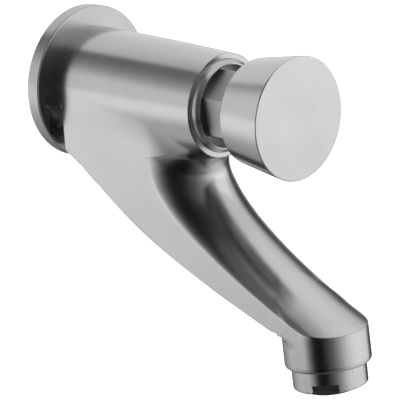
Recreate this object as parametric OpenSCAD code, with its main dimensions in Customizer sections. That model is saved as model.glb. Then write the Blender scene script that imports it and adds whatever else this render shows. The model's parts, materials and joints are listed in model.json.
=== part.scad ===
// Wall-mounted push tap with a timed, self-closing cartridge.
// The wall is the plane y = 0, the tap reaches out along -Y, +Z is up, and the origin is
// where the button's axis meets the wall. Lengths are millimetres and angles degrees.
// A "station" is a distance from the wall, measured along -Y.

/* [Wall flange] */
// Diameter of the wall flange
flange_d = 56; // [52:1:64]
// Thickness of the wall flange, from the wall to its front face
flange_t = 5.3; // [4.8:0.1:7]
// Thickness of the flange's front plate
flange_plate_t = 2.3; // [1.8:0.1:3]
// Width of the flange's outer rim
flange_rim_w = 2; // [1.5:0.1:4]
// Width of the flange's hub round the body's spigot
flange_hub_w = 2; // [1.5:0.1:2.5]
// Bevel on the flange's front edge
flange_bevel = 0.4; // [0.2:0.1:0.8]

/* [Body] */
// Diameter of the round body at the flange
body_back_d = 41; // [40:0.5:44]
// Diameter of the round body at its mouth
body_mouth_d = 38.6; // [38:0.2:40]
// Station of the body's mouth
mouth_at = 71.5; // [70.5:0.5:76]
// Radius that rounds the edge of the mouth
mouth_round = 1.6; // [0.8:0.1:1.8]
// Depth of the shadow groove round the bezel ring
mouth_groove = 1; // [0.6:0.1:1.2]
// Diameter of the spigot that passes through the flange
spigot_d = 30; // [28:0.5:32]
// Gap between the wall and the spigot's end
spigot_gap = 1.5; // [1.4:0.1:2]
// Diameter of the cartridge chamber
chamber_d = 27; // [26.5:0.1:27.5]
// Width of the step that the cartridge seats on
chamber_step = 1; // [0.8:0.1:1.2]
// Radius of the passage from the inlet to the chamber
passage_r = 7.5; // [6.5:0.1:8]

/* [Spout] */
// Station of the outlet's centre at the barrel's lower end
outlet_reach = 114.6; // [110:0.2:122]
// Depth of the barrel's lower end below the button's axis
outlet_drop = 88.2; // [85:0.2:94]
// Forward tilt of the outlet
outlet_tilt = 3.75; // [0:0.25:6]
// Diameter of the barrel round the outlet
barrel_d = 31; // [30:0.2:33]
// Bevel on the barrel's lower edge
barrel_bevel = 1.1; // [0.5:0.1:1.4]
// Height of the barrel's front wall below the tip of the tongue
nose_h = 12.9; // [12:0.1:13.5]
// Height above the barrel's lower end where the underside ends
belly_h = 10; // [8:0.1:11]
// How far the underside runs on past the barrel's back
belly_run = 10.2; // [8:0.1:12]
// Gap between the flange and the back edge of the spout
fin_gap = 3; // [2:0.1:4]
// Rounding of the back edge and the underside of the spout
fin_edge = 3; // [2:0.25:4]
// Backward lean of the neck under the mouth
neck_lean = 44; // [40:1:48]
// Length over which the neck keeps that lean
neck_pull = 22; // [20:0.5:24]
// Height over which that lean fades out in the round body
neck_fade = 4; // [3:0.5:5]
// Depth of the round front of the neck
neck_depth = 18.5; // [17:0.5:20]
// Distance from the mouth to the start of that round front in the round body
neck_start = 25.5; // [23:0.5:28]
// Width of the hollow blend between the neck and the round body
neck_blend = 5; // [4:0.5:6]
// Slope of the tongue at its tip
tongue_slope = 22; // [20:0.5:25]
// Length over which the tongue keeps that slope
tongue_pull = 30; // [27:0.5:32]
// Depth of the crown of the tongue at its tip
tongue_crown = 13; // [11:0.5:14]
// Slope of the underside at the flange
heel_slope = 38.8; // [36:0.2:42]
// Length over which the heel keeps that slope
heel_pull = 40.6; // [36:0.2:44]
// Slope of the underside at the barrel
belly_slope = 20.8; // [18:0.2:24]
// Length over which the underside keeps that slope
belly_pull = 63.5; // [58:0.5:68]
// Radius of the waterway inside the spout
waterway_r = 4.5; // [3.5:0.25:4.75]
// Depth of the waterway's bend in the neck below the button's axis
neck_way_drop = 38; // [34:0.5:42]
// Station of that bend, back from the mouth
neck_way_inset = 16; // [14:0.5:20]
// Distance of the waterway's lower bend behind the outlet
low_way_back = 22.6; // [20:0.2:26]
// Height of that bend above the barrel's lower end
low_way_up = 23.2; // [22:0.2:25]

/* [Aerator] */
// Diameter of the aerator's collar
aerator_d = 26.8; // [26:0.1:28]
// Height of the collar below the barrel
aerator_h = 8.1; // [7:0.1:10]
// Rounding of the collar's lower edge
aerator_edge = 0.6; // [0.3:0.1:1]
// Major diameter of the aerator's thread
aerator_thread_d = 24; // [23.6:0.1:24.2]
// Length of the aerator's thread
aerator_thread_l = 7.5; // [6:0.1:8]
// Wall of the aerator's shell at its thread
aerator_wall = 1.6; // [1.2:0.1:2]
// Width and height of the lip that holds the jet insert
aerator_lip = 1; // [0.8:0.1:1.2]
// Width of each key notch in the collar
notch_w = 9.4; // [7:0.2:11]
// Height of each key notch
notch_h = 2.9; // [2:0.1:3.4]
// Direction of the key notches round the outlet, counted from +X
notch_angle = 222; // [180:1:270]
// Distance that the insert's nozzle plate stands out below the collar
nozzle_stand = 1.1; // [0.8:0.1:1.4]
// Radius of each jet hole in the insert
jet_r = 0.8; // [0.6:0.05:1]
// Thickness of the screen over the insert
screen_t = 0.8; // [0.6:0.1:1]
// Thickness of the gasket over the shell
aerator_gasket_t = 1.4; // [1:0.1:1.8]

/* [Button] */
// Diameter of the button's front face
button_d = 44.4; // [43:0.2:48]
// Diameter of the button's back edge
button_back_d = 38; // [37:0.2:40]
// Length of the button along the axis
button_l = 19.9; // [18:0.1:20.5]
// Thickness of the button's front
button_front_t = 7; // [6.5:0.1:8]
// Bevel on the edge of the button's face
button_bevel = 0.4; // [0.2:0.1:0.6]
// Clearance between the hexagon's corners and the hollow of the button
hollow_gap = 2.4; // [1.8:0.1:2.7]
// Travel of the button
stroke = 8; // [6:0.5:8.5]
// Clearance left between the hexagon and the pressed button
press_gap = 1; // [0.5:0.1:1.5]
// Depth of the rod's thread in the button
button_thread_l = 5; // [4:0.1:5.5]
// Width across the flats of the nut that locks the button
nut_af = 10; // [9:0.5:11]
// Thickness of that nut
nut_t = 4; // [3:0.1:4.5]

/* [Bonnet] */
// Width across the flats of the bonnet's hexagon
hex_af = 24; // [23:0.5:24.5]
// Turn of the hexagon about the axis
hex_turn = 36; // [0:1:60]
// Distance of the hexagon's front end from the mouth
hex_stand = 20.5; // [19:0.5:21.5]
// Depth of the bonnet's ledge inside the mouth
ledge_depth = 4.5; // [4:0.1:5]
// Thickness of the bonnet's flange
bonnet_flange_t = 2.8; // [2.2:0.1:3]
// Length of the bonnet behind its ledge
bonnet_l = 11; // [10.8:0.1:12]
// Diameter of the bezel ring round the hexagon
bezel_d = 32.4; // [32:0.2:33]
// Height of the bezel ring in front of the mouth
bezel_h = 2.9; // [2.5:0.1:3.7]
// Thickness of the bezel ring
bezel_wall = 1.6; // [1.2:0.1:1.8]
// Width of the shoulder of the bezel ring that sits on the mouth
bezel_shoulder = 0.6; // [0.4:0.1:0.8]
// Bevel on the front edge of the bezel ring
bezel_bevel = 1; // [0.5:0.1:1.1]

/* [Inlet] */
// Major diameter of the inlet thread
inlet_thread_d = 20.955; // [20.955:0.001:20.955]
// Length of the inlet thread
inlet_thread_l = 14; // [12:0.5:18]
// Bore of the inlet nipple
inlet_bore_d = 13; // [11:0.5:13.5]
// Diameter of the nipple's thread in the body
nipple_d = 18; // [17:0.2:18.6]
// Length of the nipple's thread in the body
nipple_l = 8; // [7:0.1:9]
// Diameter of the nipple's shoulder
shoulder_d = 24.6; // [23:0.2:26]
// Thickness of the nipple's shoulder
shoulder_t = 1.6; // [1.2:0.1:2]
// Thickness of the washer under the shoulder
washer_t = 1.1; // [0.8:0.1:1.3]
// Thickness of the inlet strainer
strainer_t = 1.4; // [1.2:0.1:1.6]
// Width of the strainer's rim
strainer_rim = 1.4; // [1:0.1:1.8]

/* [Cartridge] */
// Radius of the rod that joins the button to the piston
rod_r = 3; // [2.8:0.1:3.3]
// Step from the rod down to its threaded ends
rod_step = 0.5; // [0.4:0.1:0.6]
// Width and length of the collar that clamps the valve washer
rod_collar = 1.2; // [1:0.1:1.4]
// Radius of the bore of the timing cylinder
timing_r = 8; // [7.8:0.1:8.2]
// Wall of the timing cylinder
timing_wall = 1.6; // [1.3:0.1:1.8]
// Thickness of the timing cylinder's flange
timing_flange_t = 3; // [2.5:0.1:3.2]
// Gap for the water behind the timing cylinder
back_flow_gap = 2.2; // [2:0.1:2.5]
// Width of the bleed groove that times the return
bleed_w = 0.6; // [0.5:0.05:0.8]
// Diameter of the return spring's wire
spring_wire_d = 1; // [0.8:0.05:1.1]
// Number of turns of the return spring
spring_turns = 5; // [4:0.5:5.5]
// Spare length of the spring when the button is pressed home
spring_spare = 2; // [1.5:0.1:2.5]
// Length of the piston
piston_l = 8; // [7.5:0.1:8.5]
// Depth of the lip seal's groove in the piston
lip_depth = 1.9; // [1.6:0.1:2.1]
// Length of the lip seal
lip_l = 2.6; // [2.2:0.1:3]
// Thickness of the valve washer
valve_t = 2.1; // [1.8:0.1:2.4]
// Clearance between the valve washer and its seat
valve_gap = 0.1; // [0.05:0.05:0.2]
// Height of the seat's lip
seat_lip_h = 0.8; // [0.6:0.1:1]
// Width of the seat's lip
seat_lip_w = 1.1; // [0.9:0.1:1.2]
// Thickness of the seat's plate
seat_plate_t = 3; // [2.8:0.1:3.2]
// Depth of the water space round the valve washer
valve_space = 5; // [4.5:0.1:5.4]
// Length of the cage in front of the seat
cage_l = 7; // [6:0.1:7.5]
// Wall of the cage
cage_wall = 1.8; // [1.4:0.1:2.2]
// Width of the rims at both ends of the cage
cage_rim = 1.1; // [0.9:0.1:1.3]
// Diameter of the section of the sealing rings
ring_section = 1.8; // [1.6:0.1:1.9]
// Radius of the pocket for the rod's bush and seal
bush_r = 6.2; // [5.9:0.1:6.5]
// Length of the rod's bush
bush_l = 5; // [4:0.1:5.4]
// Thickness of the clip that holds the bush
clip_t = 1; // [0.8:0.1:1.1]
// Depth of the clip's groove
clip_groove = 0.7; // [0.5:0.1:0.9]

/* [Clearances] */
// Radial clearance of pieces that are screwed or seated together
seat_fit = 0.1; // [0.05:0.05:0.15]
// Radial clearance of the sliding rod and seals
slide_fit = 0.1; // [0.05:0.05:0.15]
// Gap round the flange's hub, its gasket and the bonnet's flange
loose_fit = 0.2; // [0.1:0.05:0.3]
// Radial play of the piston in its cylinder and of the rod in the bonnet
piston_play = 0.4; // [0.3:0.05:0.5]

/* [Hidden] */
$fn = 64;
tiny = 0.01;
past = 1;

flange_r = flange_d/2;
body_back_r = body_back_d/2;
body_mouth_r = body_mouth_d/2;
spigot_r = spigot_d/2;
barrel_r = barrel_d/2;
chamber_r = chamber_d/2;
back_chamber_r = chamber_r - chamber_step;
bezel_r = bezel_d/2;
mouth_bore_r = bezel_r - bezel_shoulder;
hex_corner_r = hex_af/2/cos(30);
nut_corner_r = nut_af/2/cos(30);
thread_rod_r = rod_r - rod_step;

// Stations of the inlet, counted forward from the wall
shoulder_front = spigot_gap - washer_t;
shoulder_back = shoulder_front - shoulder_t;
nipple_end = spigot_gap + nipple_l;
strainer_at = nipple_end + seat_fit;
socket_end = strainer_at + strainer_t + seat_fit;

// Stations of the cartridge, counted back from the mouth
ledge_at = mouth_at - ledge_depth;
nose_at = ledge_at - bonnet_l;
cage_at = nose_at - cage_l;
seat_plate_at = cage_at - seat_plate_t;
seat_at = seat_plate_at - valve_space;
step_at = seat_at - timing_flange_t;
valve_front = seat_plate_at - seat_lip_h - valve_gap;
piston_front = valve_front - valve_t;
piston_at = piston_front - piston_l;
spring_l = stroke + (spring_turns + 1)*spring_wire_d + spring_spare;
timing_floor = piston_at - spring_l;
timing_at = timing_floor - timing_wall;
chamber_at = timing_at - back_flow_gap;

// Stations of the button, counted forward from the mouth
hex_at = ledge_at + bonnet_flange_t/2;
hex_end = mouth_at + hex_stand;
hollow_end = hex_end + stroke + press_gap;
button_face = hollow_end + button_front_t;
button_back = button_face - button_l;
nut_at = hollow_end - nut_t;
well_at = nut_at - stroke - press_gap;

// Axes and places

module on_axis() {
    rotate([90, 0, 0]) children();
}

module on_outlet() {
    translate([0, -outlet_reach, -outlet_drop]) rotate([-outlet_tilt, 0, 0]) children();
}

module drum(r, from, to) {
    translate([0, 0, from]) cylinder(r = r, h = to - from);
}

module ring(r_out, r_in, from, to) {
    difference() {
        drum(r_out, from, to);
        drum(r_in, from - past, to + past);
    }
}

module o_ring(r, section, at) {
    translate([0, 0, at]) rotate_extrude() translate([r, 0]) circle(d = section);
}

module ring_of(count, r) {
    for (k = [0:count - 1]) rotate(360*k/count) translate([r, 0, 0]) children();
}

module grid_disc(r, rim, t, bar, pitch) {
    ring(r, r - rim, 0, t);
    intersection() {
        drum(r - rim/2, 0, t);
        for (turn = [0, 90], x = [-ceil(r/pitch)*pitch:pitch:r])
            rotate(turn) translate([x - bar/2, -r, 0]) cube([bar, 2*r, t/2]);
    }
}

// Outer skin of the body: a tapered round body that runs into the fin of the spout,
// whose top is a crowned tongue and whose end is an upright barrel

function lerp(a, b, t) = a + (b - a)*t;
function clamp01(t) = min(1, max(0, t));
function ease(a, b, x) = let (t = clamp01((x - a)/(b - a))) t*t*(3 - 2*t);
function bezier(p, t) =
    let (u = 1 - t) u*u*u*p[0] + 3*u*u*t*p[1] + 3*u*t*t*p[2] + t*t*t*p[3];
// Station of a falling curve at height z, found by halving its parameter
function station_at(p, z, lo = 0, hi = 1, n = 24) =
    let (mid = (lo + hi)/2, at = bezier(p, mid))
    n == 0 ? at[0] : at[1] > z ? station_at(p, z, mid, hi, n - 1) : station_at(p, z, lo, mid, n - 1);
function smooth_max(a, b, k) =
    let (h = max(k - abs(a - b), 0)/max(k, tiny)) max(a, b) + h*h*k/4;
// Height of a quarter of a unit circle at x
function quarter(x) = sqrt(1 - pow(clamp01(x), 2));

far = 1000;
thin = 0.4;
corner_step = 0.1;
tip_run = 2;
tip_z = -outlet_drop + nose_h;
belly_z = -outlet_drop + belly_h;
fin_back = flange_t + fin_gap;
heel_z = -body_back_r - corner_step;

function barrel_at(z) = outlet_reach - (z + outlet_drop)*tan(outlet_tilt);
function barrel_back(z) = barrel_at(z) - barrel_r;

neck_top = [mouth_at - mouth_round, -body_mouth_r];
tongue_tip = [barrel_at(tip_z) + barrel_r + tip_run, tip_z];
tongue = [neck_top,
          neck_top - neck_pull*[sin(neck_lean), cos(neck_lean)],
          tongue_tip + tongue_pull*[-cos(tongue_slope), sin(tongue_slope)],
          tongue_tip];
heel = [fin_back, heel_z];
belly_end = [barrel_back(belly_z) + belly_run, belly_z];
belly = [heel,
         heel + heel_pull*[cos(heel_slope), -sin(heel_slope)],
         belly_end + belly_pull*[-cos(belly_slope), sin(belly_slope)],
         belly_end];

// The neck's lean is carried up into the round body, where it fades out
function neck_run(z) =
    let (left = 1 - clamp01((z - neck_top[1])/neck_fade))
    neck_top[0] + tan(neck_lean)*neck_fade/2*(1 - left*left);
function tongue_at(z) = z > neck_top[1] ? neck_run(z) : z < tip_z ? far : station_at(tongue, z);
function belly_at(z) = z >= heel_z ? fin_back : z < belly_z ? far : station_at(belly, z);

function taper_r(s) = lerp(body_back_r, body_mouth_r, (s - flange_t)/(mouth_at - flange_t));
function body_r(s) =
    let (edge = max(0, s - neck_top[0]))
    taper_r(s) - mouth_round + sqrt(max(0, mouth_round*mouth_round - edge*edge));
function front_at(z) =
    let (into = -z - body_mouth_r + mouth_round)
    into < 0 ? mouth_at
    : into < mouth_round ? neck_top[0] + sqrt(mouth_round*mouth_round - into*into)
    : min(tongue_at(z), barrel_at(z) + barrel_r);
function back_at(z) = z > -body_back_r ? flange_t : min(belly_at(z), barrel_back(z));

// Station where the side walls start to draw in, height in which the neck's round front
// takes on its own depth, and share of the wall's width that the blend may reach in
fin_start = fin_back + 6.7;
neck_drop = 15;
blend_share = 0.6;
function fin_width(s, z) = lerp(taper_r(min(s, mouth_at)), barrel_r, ease(fin_start, barrel_at(z), s));
function half_width(s, z) =
    let (
        round_part = sqrt(max(0, pow(body_r(min(s, mouth_at)), 2) - z*z)),
        fall = (neck_top[1] - z)/(neck_top[1] - tip_z),
        own_crown = lerp(neck_depth, tongue_crown, ease(0, 1, fall)),
        neck_crown = tongue_at(z) - mouth_at + neck_start,
        crown = lerp(neck_crown, own_crown, ease(0, neck_drop, neck_top[1] - z)),
        tongue_part = quarter((s - tongue_at(z) + crown)/crown),
        nose_part = quarter((s - barrel_at(z))/barrel_r),
        belly_part = s < belly_at(z) ? 0 : quarter((belly_at(z) + fin_edge - s)/fin_edge),
        barrel_part = quarter(abs(s - barrel_at(z))/barrel_r),
        fin = max(fin_width(s, z)*min(tongue_part, nose_part, belly_part),
                  barrel_r*min(tongue_part, barrel_part)),
        blend = min(neck_blend*max(0, -z)/max(round_part, 1), blend_share*fin)
    )
    max(thin, smooth_max(round_part, fin, blend));

side_points = 21;
fin_levels = 26;
barrel_levels = 6;
top_angles = [2:8:82];
flank_angles = [0:9:81];
function spread(i) = (1 - cos(180*i/(side_points - 1)))/2;
function both_sides(half) =
    concat(half, [for (i = [len(half) - 1:-1:0]) [-half[i][0], half[i][1], half[i][2]]]);
function top_ring(a) = both_sides([for (i = [0:side_points - 1])
    let (s = lerp(flange_t, mouth_at, spread(i)), r = body_r(s)) [r*sin(a), -s, r*cos(a)]]);
// Points of a level, drawn in toward the outlet's axis by the factor draw
function level_ring(z, draw = 1) = both_sides([for (i = [0:side_points - 1])
    let (
        s = lerp(back_at(z), front_at(z), spread(i)),
        out = (s - barrel_at(z))*draw,
        lean = ease(tip_z, -outlet_drop, z)*tan(outlet_tilt)
    )
    [half_width(s, z)*draw, -barrel_at(z) - out, z + out*lean]]);
low_z = heel_z - corner_step;
level_heights = concat(
    [for (b = flank_angles) -body_mouth_r*sin(b)],
    [-body_mouth_r + corner_step, -body_mouth_r - 4*corner_step, low_z],
    [for (k = [1:fin_levels]) lerp(low_z, tip_z, k/fin_levels)],
    [for (k = [1:barrel_levels]) lerp(tip_z, -outlet_drop + barrel_bevel, k/barrel_levels)]);

module skin(rings) {
    n = len(rings[0]);
    last = (len(rings) - 1)*n;
    sides = [for (k = [0:len(rings) - 2], i = [0:n - 1])
        let (a = k*n + i, b = k*n + (i + 1)%n) each [[a, b + n, b], [a, a + n, b + n]]];
    caps = [for (i = [0:n/2 - 2]) let (j = n - 1 - i) each [
        [i, i + 1, j], [i + 1, j - 1, j],
        [last + i, last + j, last + i + 1], [last + i + 1, last + j, last + j - 1]]];
    polyhedron([for (r = rings) each r], concat(sides, caps), convexity = 8);
}

module body_skin() {
    skin(concat(
        [for (a = top_angles) top_ring(a)],
        [for (z = level_heights) level_ring(z)],
        [level_ring(-outlet_drop, 1 - barrel_bevel/barrel_r)]));
}

// Waterway from the cage down to the outlet, as [station, height]
gasket_at = aerator_thread_l;
outlet_socket_l = gasket_at + aerator_gasket_t;
outlet_space = 3;
way_end_up = outlet_socket_l + outlet_space/2;
waterway = [[cage_at + cage_l/2, -chamber_r + waterway_r],
            [mouth_at - neck_way_inset, -neck_way_drop],
            [outlet_reach - low_way_back, -outlet_drop + low_way_up],
            [outlet_reach - way_end_up*sin(outlet_tilt), -outlet_drop + way_end_up*cos(outlet_tilt)]];
bend_swell = 0.6;
bend_r = waterway_r + bend_swell;

module water_run(p, q) {
    run = q - p;
    translate([0, -p[0], p[1]])
        rotate([atan2(run[0], run[1]), 0, 0])
        cylinder(r = waterway_r, h = norm(run));
}

module water_cut() {
    for (k = [0:len(waterway) - 2]) water_run(waterway[k], waterway[k + 1]);
    for (k = [1:len(waterway) - 2]) translate([0, -waterway[k][0], waterway[k][1]]) sphere(r = bend_r);
}

groove_in = 0.2;
groove_w = 1.2;
groove_r = bezel_r + groove_in;
socket_r = nipple_d/2 + seat_fit;
thread_r = aerator_thread_d/2;
outlet_space_r = thread_r - aerator_wall - aerator_lip;

module tap_body() {
    color("silver") difference() {
        union() {
            body_skin();
            on_axis() drum(spigot_r, spigot_gap, fin_back);
        }
        on_axis() {
            drum(socket_r, spigot_gap - past, socket_end);
            drum(passage_r, socket_end - past, chamber_at + past);
            drum(back_chamber_r, chamber_at, step_at + past);
            drum(chamber_r, step_at, mouth_at + past);
            drum(mouth_bore_r, ledge_at, mouth_at + past);
            ring(groove_r + groove_w, groove_r, mouth_at - mouth_groove, mouth_at + past);
        }
        water_cut();
        on_outlet() {
            drum(thread_r + seat_fit, -past, outlet_socket_l);
            drum(outlet_space_r, outlet_socket_l - past, outlet_socket_l + outlet_space);
        }
    }
}

// Wall side

hub_in_r = spigot_r + loose_fit;
hub_out_r = hub_in_r + flange_hub_w;
rim_in_r = flange_r - flange_rim_w;
recess_at = flange_t - flange_plate_t;

module wall_flange() {
    color("silver") on_axis() rotate_extrude() polygon([
        [hub_in_r, spigot_gap], [hub_out_r, spigot_gap], [hub_out_r, recess_at], [rim_in_r, recess_at],
        [rim_in_r, 0], [flange_r, 0], [flange_r, flange_t - flange_bevel],
        [flange_r - flange_bevel, flange_t], [hub_in_r, flange_t]]);
}

module flange_gasket() {
    color("dimgray") on_axis() ring(rim_in_r - loose_fit, hub_out_r + loose_fit, 0, recess_at);
}

module inlet_nipple() {
    color("goldenrod") on_axis() difference() {
        union() {
            drum(nipple_d/2, shoulder_back, nipple_end);
            drum(shoulder_d/2, shoulder_back, shoulder_front);
            drum(inlet_thread_d/2, shoulder_back - inlet_thread_l, shoulder_back);
        }
        drum(inlet_bore_d/2, shoulder_back - inlet_thread_l - past, nipple_end + past);
    }
}

module nipple_washer() {
    color("firebrick") on_axis() ring(shoulder_d/2, socket_r + loose_fit, shoulder_front, spigot_gap);
}

mesh_pitch = 2;
strainer_bar = 0.6;

module inlet_strainer() {
    color("gainsboro") on_axis() translate([0, 0, strainer_at])
        grid_disc(nipple_d/2, strainer_rim, strainer_t, strainer_bar, mesh_pitch);
}

// Timing cylinder, piston and valve

timing_out_r = timing_r + timing_wall;
flow_r = (timing_out_r + back_chamber_r)/2;
flow_hole_wall = 0.3;
flow_hole_r = (back_chamber_r - timing_out_r)/2 - flow_hole_wall;
flow_holes = 8;
bleed_depth = 0.4;

module timing_cylinder() {
    color("white") on_axis() difference() {
        union() {
            drum(timing_out_r, timing_at, seat_at);
            drum(chamber_r - seat_fit, step_at, seat_at);
        }
        drum(timing_r, timing_floor, seat_at + past);
        ring_of(flow_holes, flow_r) drum(flow_hole_r, step_at - past, seat_at + past);
        translate([timing_r - bleed_w, -bleed_w/2, timing_floor])
            cube([bleed_w + bleed_depth, bleed_w, seat_at - timing_floor + past]);
    }
}

spring_r = timing_r - 2*piston_play - spring_wire_d;
spring_rings = 12;
spring_sides = 6;

module return_spring() {
    count = round(spring_turns*spring_rings);
    rise = spring_l - spring_wire_d - 2*seat_fit;
    pitch = rise/spring_turns;
    echo(spring_gap = pitch*cos(atan2(pitch, 2*PI*spring_r)) - spring_wire_d);
    points = [for (k = [0:count], i = [0:spring_sides - 1])
        let (
            turn = 360*k/spring_rings,
            r = spring_r + spring_wire_d/2*cos(360*i/spring_sides),
            lift = spring_wire_d/2*(1 + sin(360*i/spring_sides))
        )
        [r*cos(turn), r*sin(turn), timing_floor + seat_fit + rise*k/count + lift]];
    walls = [for (k = [0:count - 1], i = [0:spring_sides - 1])
        let (a = k*spring_sides + i, b = k*spring_sides + (i + 1)%spring_sides)
        each [[a, b, b + spring_sides], [a, b + spring_sides, a + spring_sides]]];
    ends = [for (i = [1:spring_sides - 2])
        let (e = count*spring_sides) each [[0, i + 1, i], [e, e + i, e + i + 1]]];
    color("lightgray") on_axis() polyhedron(points, concat(walls, ends), convexity = 10);
}

piston_r = timing_r - piston_play;
lip_at = piston_at + (piston_l - lip_l)/2;
lip_in_r = piston_r - lip_depth;
guide_l = 1.5;
rod_in_piston = 4.5;

module piston() {
    color("ivory") on_axis() difference() {
        union() {
            drum(piston_r, piston_at, piston_front);
            drum(spring_r - spring_wire_d/2 - piston_play, piston_at - guide_l, piston_front);
        }
        ring(piston_r + past, lip_in_r, lip_at, lip_at + lip_l);
        drum(thread_rod_r + seat_fit, piston_front - rod_in_piston - seat_fit, piston_front + past);
    }
}

module lip_seal() {
    heel_r = lip_in_r + seat_fit;
    out_r = timing_r - slide_fit;
    from = lip_at + seat_fit;
    to = lip_at + lip_l - seat_fit;
    mid = (heel_r + out_r)/2;
    notch = (to - from)/2;
    color("#202020") on_axis() rotate_extrude() polygon([
        [heel_r, from], [mid - notch/3, from], [mid, from + notch], [out_r - notch/3, from],
        [out_r, from], [piston_r, to], [heel_r, to]]);
}

module valve_washer() {
    color("#202020") on_axis()
        ring(piston_r - piston_play, thread_rod_r + seat_fit, piston_front, valve_front);
}

module push_rod() {
    color("lightgray") on_axis() {
        drum(thread_rod_r, piston_front - rod_in_piston, valve_front + rod_collar);
        drum(rod_r + rod_collar, valve_front, valve_front + rod_collar);
        drum(rod_r, valve_front, nut_at - seat_fit);
        drum(thread_rod_r, nut_at - past, hollow_end + button_thread_l - seat_fit);
    }
}

seat_flow_gap = 1.4;
seat_bore_r = rod_r + rod_collar + seat_flow_gap;
ring_r = chamber_r - ring_section/2 - seat_fit/2;
ring_groove_r = ring_r - ring_section/2 - seat_fit/2;
ring_groove_w = ring_section + 2*seat_fit;

module ring_groove(at) {
    ring(chamber_r, ring_groove_r, at - ring_groove_w/2, at + ring_groove_w/2);
}

seat_ring_at = seat_plate_at + seat_plate_t/2;
bonnet_ring_at = nose_at + ring_groove_w;

module valve_seat() {
    color("goldenrod") on_axis() difference() {
        drum(chamber_r - seat_fit, seat_at, cage_at);
        difference() {
            drum(flow_r + flow_hole_r + seat_fit, seat_at - past, seat_plate_at);
            drum(seat_bore_r + seat_lip_w, seat_plate_at - seat_lip_h, seat_plate_at + past);
        }
        drum(seat_bore_r, seat_at - past, cage_at + past);
        ring_groove(seat_ring_at);
    }
}

module seat_ring() {
    color("#202020") on_axis() o_ring(ring_r, ring_section, seat_ring_at);
}

windows = 6;
window_w = 8;

module cartridge_cage() {
    color("white") on_axis() difference() {
        ring(chamber_r - seat_fit, chamber_r - seat_fit - cage_wall, cage_at, nose_at);
        ring_of(windows, chamber_r)
            translate([-2*cage_wall, -window_w/2, cage_at + cage_rim])
            cube([3*cage_wall, window_w, cage_l - 2*cage_rim]);
    }
}

// Bonnet, rod guide and bezel

clip_lead = 0.8;
clip_at = nose_at + clip_lead;
bush_at = clip_at + clip_t + seat_fit;
rod_seal_section = bush_r - rod_r - 2*slide_fit;
pocket_end = bush_at + bush_l + rod_seal_section + 2*seat_fit;
well_gap = 1.2;
well_r = nut_corner_r + well_gap;

module bonnet() {
    color("silver") on_axis() difference() {
        union() {
            drum(chamber_r - seat_fit, nose_at, ledge_at + past);
            drum(mouth_bore_r - loose_fit, ledge_at, ledge_at + bonnet_flange_t);
            rotate(hex_turn) translate([0, 0, hex_at])
                cylinder(r = hex_corner_r, h = hex_end - hex_at, $fn = 6);
        }
        ring_groove(bonnet_ring_at);
        drum(bush_r, nose_at - past, pocket_end);
        drum(bush_r + clip_groove, clip_at, clip_at + clip_t);
        drum(rod_r + piston_play, nose_at - past, hex_end + past);
        drum(well_r, well_at, hex_end + past);
    }
}

module bonnet_ring() {
    color("#202020") on_axis() o_ring(ring_r, ring_section, bonnet_ring_at);
}

module guide_bush() {
    color("ivory") on_axis() ring(bush_r - seat_fit, rod_r + slide_fit, bush_at, bush_at + bush_l);
}

module rod_seal() {
    color("#202020") on_axis()
        o_ring((bush_r + rod_r)/2, rod_seal_section, pocket_end - seat_fit - rod_seal_section/2);
}

clip_open = 4;

module bush_clip() {
    clip_out_r = bush_r + clip_groove - seat_fit;
    color("lightgray") on_axis() difference() {
        ring(clip_out_r, bush_r - 2*clip_groove, clip_at + seat_fit/2, clip_at + clip_t - seat_fit/2);
        translate([0, -clip_open/2, clip_at - past]) cube([clip_out_r + past, clip_open, clip_t + 2*past]);
    }
}

module bezel_ring() {
    front = mouth_at + bezel_h;
    in_r = bezel_r - bezel_wall;
    color("silver") on_axis() rotate_extrude() polygon([
        [in_r, ledge_at + bonnet_flange_t + loose_fit],
        [mouth_bore_r - seat_fit, ledge_at + bonnet_flange_t + loose_fit],
        [mouth_bore_r - seat_fit, mouth_at], [bezel_r, mouth_at],
        [bezel_r, front - bezel_bevel], [bezel_r - bezel_bevel, front], [in_r, front]]);
}

// Button

module button_cap() {
    button_r = button_d/2;
    hollow_r = hex_corner_r + hollow_gap;
    bore_end = hollow_end + button_thread_l;
    color("silver") on_axis() rotate_extrude() polygon([
        [0, bore_end], [thread_rod_r + seat_fit, bore_end], [thread_rod_r + seat_fit, hollow_end],
        [hollow_r, hollow_end], [hollow_r, button_back], [button_back_d/2, button_back],
        [button_r, button_face - button_bevel], [button_r - button_bevel, button_face], [0, button_face]]);
}

module button_nut() {
    color("lightgray") on_axis() difference() {
        translate([0, 0, nut_at]) cylinder(r = nut_corner_r, h = nut_t, $fn = 6);
        drum(thread_rod_r + seat_fit, nut_at - past, hollow_end + past);
    }
}

// Aerator, in the outlet's own frame: the barrel's lower end is at height 0

collar_gap = 0.15;
shell_r = thread_r - aerator_wall;
insert_r = shell_r - seat_fit;
insert_at = -aerator_h + aerator_lip;
nozzle_at = -aerator_h - nozzle_stand;
screen_at = aerator_thread_l - screen_t - seat_fit;

module aerator_shell() {
    collar_r = aerator_d/2;
    color("silver") on_outlet() difference() {
        rotate_extrude() polygon([
            [shell_r - aerator_lip, -aerator_h], [collar_r - aerator_edge, -aerator_h],
            [collar_r, -aerator_h + aerator_edge], [collar_r, -collar_gap], [thread_r, -collar_gap],
            [thread_r, aerator_thread_l], [shell_r, aerator_thread_l], [shell_r, insert_at],
            [shell_r - aerator_lip, insert_at]]);
        for (turn = [0, 180]) rotate(notch_angle + turn)
            translate([shell_r - aerator_lip - past, -notch_w/2, -aerator_h - past])
            cube([collar_r, notch_w, notch_h + past]);
    }
}

jet_rings = 3;
jet_ring_step = 2.7;
jets_per_ring = 6;

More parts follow.
